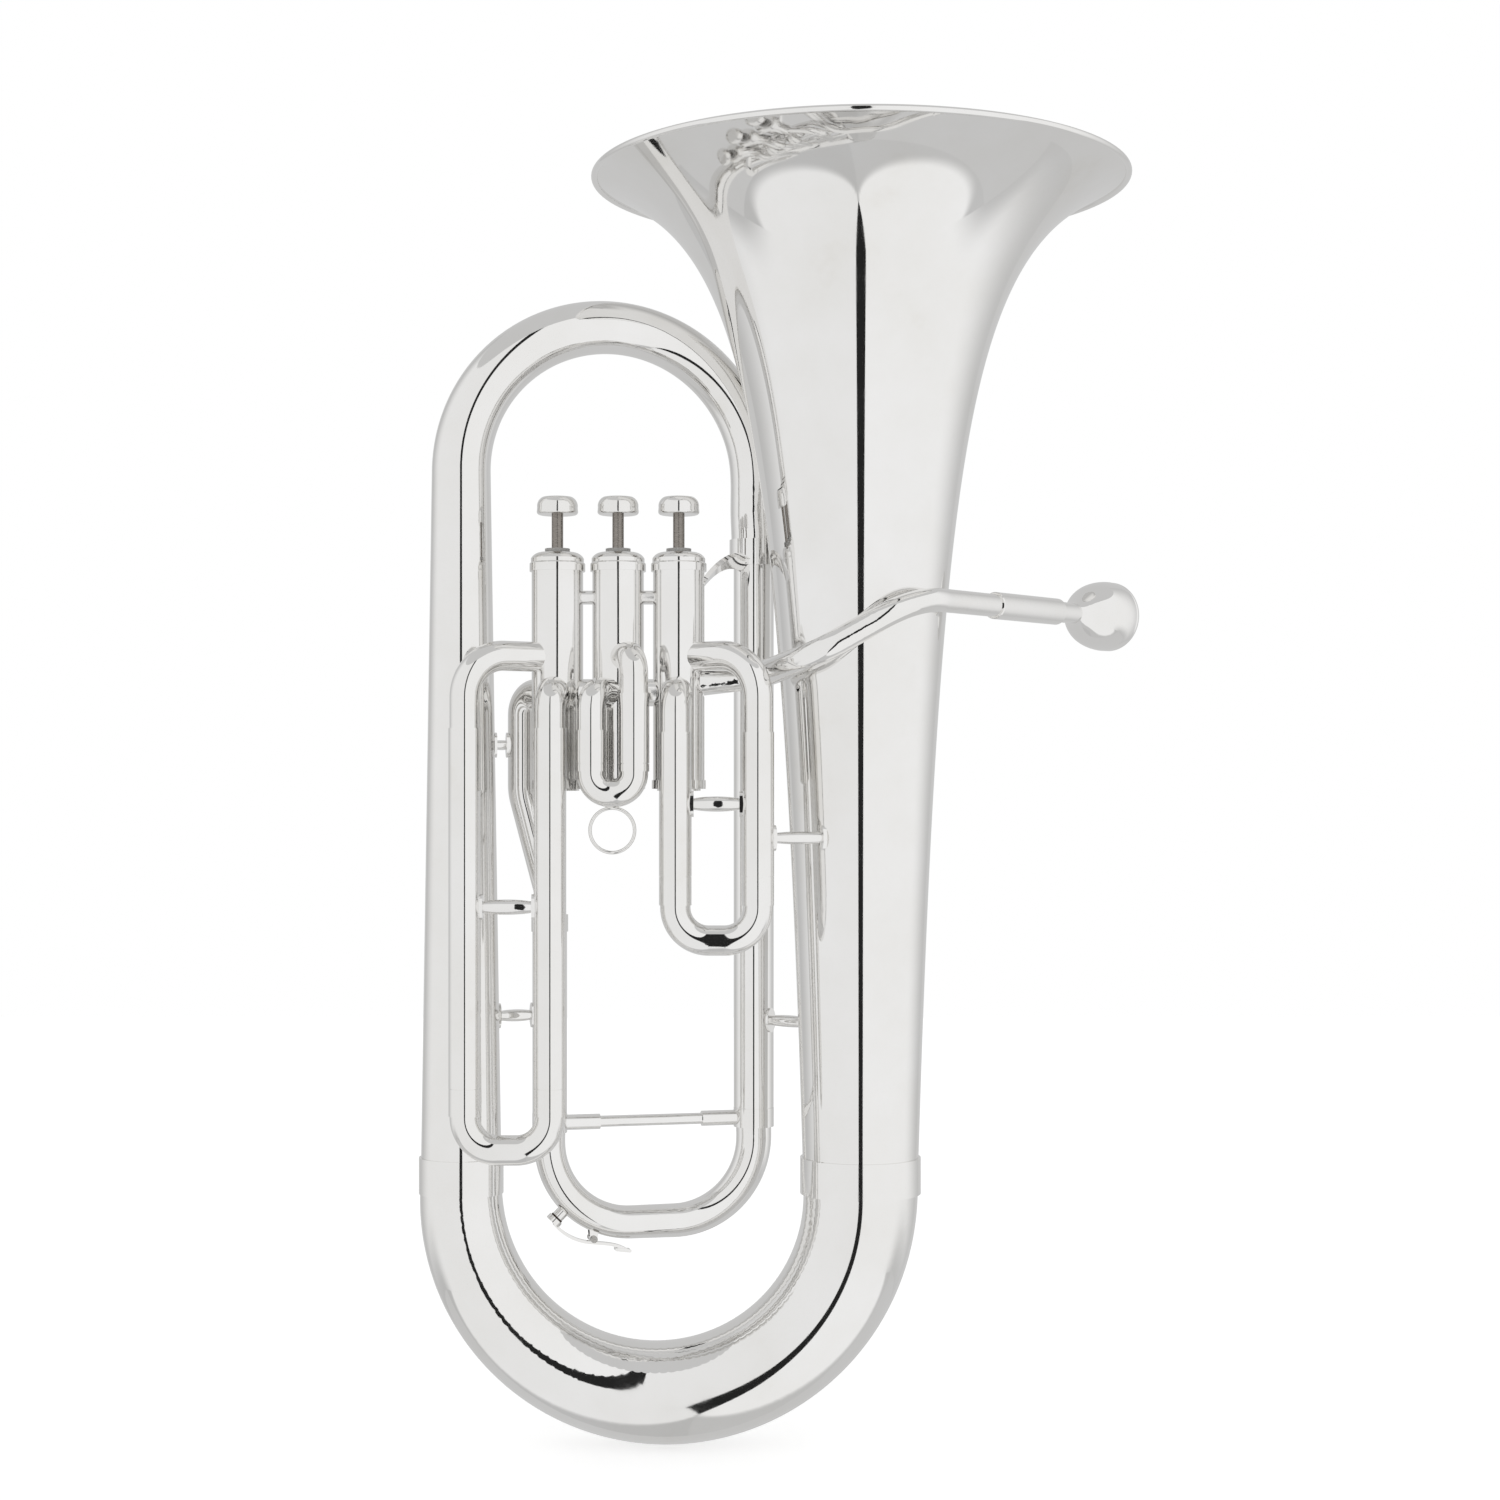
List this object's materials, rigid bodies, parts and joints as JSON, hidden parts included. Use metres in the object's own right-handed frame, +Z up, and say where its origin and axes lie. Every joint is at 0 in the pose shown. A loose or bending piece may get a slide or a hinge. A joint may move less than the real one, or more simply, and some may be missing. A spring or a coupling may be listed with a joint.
{
  "type": "baritone horn",
  "caption": "Upright baritone horn with top-action piston valves, pull-out tuning slides, sprung water key, leadpipe across the bell and removable mouthpiece.",
  "frame": {"origin": "lowest point of the bottom bow, where a stand's cradle carries it", "axes": "+Z up along the bell axis, +X from the left branch to the bell, -Y the side of the valve slides"},
  "size_m": [0.3896, 0.2834, 0.6673],
  "materials": {
    "silver_plate": "bright silver plate on brass, mirror polished",
    "steel": "ground and lapped nickel steel",
    "spring_steel": "drawn spring wire",
    "felt": "pressed wool felt",
    "cork": "dark cork pad"
  },
  "bodies": {
    "horn_body": {"bell": "silver_plate", "bell_braces": "silver_plate", "bell_rim_wire": "silver_plate", "bottom_bow": "silver_plate", "bottom_bow_ferrules": "silver_plate", "bottom_valve_caps": "silver_plate", "branch_braces": "silver_plate", "cap_felts": "felt", "casing_braces": "silver_plate", "inner_branch": "silver_plate", "leadpipe": "silver_plate", "left_branch": "silver_plate", "outlet_collar": "silver_plate", "receiver": "silver_plate", "slide_1_crooks": "silver_plate", "slide_2_crooks": "silver_plate", "slide_3_crooks": "silver_plate", "slide_braces": "silver_plate", "slide_sleeves": "silver_plate", "top_bow": "silver_plate", "top_bow_ferrule": "silver_plate", "top_valve_caps": "silver_plate", "tuning_tube_left": "silver_plate", "valve_casing_1": "silver_plate", "valve_casing_2": "silver_plate", "valve_casing_3": "silver_plate", "valve_links": "silver_plate", "valve_outlet": "silver_plate", "valve_spring_1": "spring_steel", "valve_spring_2": "spring_steel", "valve_spring_3": "spring_steel"},
    "piston_1": {"piston_1": "steel", "valve_stem_1": "steel", "finger_button_1": "silver_plate"},
    "valve_slide_1": {"slide_1_bow": "silver_plate", "slide_1_legs": "silver_plate", "slide_1_ferrules": "silver_plate"},
    "piston_2": {"piston_2": "steel", "valve_stem_2": "steel", "finger_button_2": "silver_plate"},
    "valve_slide_2": {"slide_2_bow": "silver_plate", "slide_2_legs": "silver_plate", "slide_2_ferrules": "silver_plate", "slide_2_pull_ring": "silver_plate"},
    "piston_3": {"piston_3": "steel", "valve_stem_3": "steel", "finger_button_3": "silver_plate"},
    "valve_slide_3": {"slide_3_bow": "silver_plate", "slide_3_legs": "silver_plate", "slide_3_ferrules": "silver_plate"},
    "main_tuning_slide": {"tuning_bow": "silver_plate", "tuning_legs": "silver_plate", "tuning_ferrules": "silver_plate", "tuning_crossbar": "silver_plate", "water_key_mounts": "silver_plate", "water_key_pivot_screw": "steel", "water_key_spring": "spring_steel"},
    "water_key": {"water_key_lever": "silver_plate", "water_key_cork": "cork"},
    "mouthpiece": {"mouthpiece": "silver_plate"}
  },
  "joints": [
    {"name": "piston_1_press", "type": "slide", "parent": "horn_body", "child": "piston_1", "axis": [0, 0, -1], "range_m": [0, 0.017], "stiffness_N_per_m": 120, "springref_m": -0.035, "deforming": ["valve_spring_1"]},
    {"name": "piston_2_press", "type": "slide", "parent": "horn_body", "child": "piston_2", "axis": [0, 0, -1], "range_m": [0, 0.017], "stiffness_N_per_m": 120, "springref_m": -0.035, "deforming": ["valve_spring_2"]},
    {"name": "piston_3_press", "type": "slide", "parent": "horn_body", "child": "piston_3", "axis": [0, 0, -1], "range_m": [0, 0.017], "stiffness_N_per_m": 120, "springref_m": -0.035, "deforming": ["valve_spring_3"]},
    {"name": "slide_1_pull", "type": "slide", "parent": "horn_body", "child": "valve_slide_1", "axis": [0, 0, -1], "range_m": [0, 0.05]},
    {"name": "slide_2_pull", "type": "slide", "parent": "horn_body", "child": "valve_slide_2", "axis": [0, 0, -1], "range_m": [0, 0.01]},
    {"name": "slide_3_pull", "type": "slide", "parent": "horn_body", "child": "valve_slide_3", "axis": [0, 0, -1], "range_m": [0, 0.08]},
    {"name": "tuning_slide_pull", "type": "slide", "parent": "horn_body", "child": "main_tuning_slide", "axis": [0, 0, -1], "range_m": [0, 0.028]},
    {"name": "water_key_press", "type": "hinge", "parent": "main_tuning_slide", "child": "water_key", "pos_m": [-0.03704, 0.01942, 0.1046], "axis": [0.2326, -0.9726, 0], "range_deg": [0, 9], "stiffness_Nm_per_rad": 0.03, "springref_deg": -17.19},
    {"name": "mouthpiece_pull", "type": "slide", "parent": "horn_body", "child": "mouthpiece", "axis": [0.6561, 0.7547, 0], "range_m": [0, 0.03]}
  ]
}
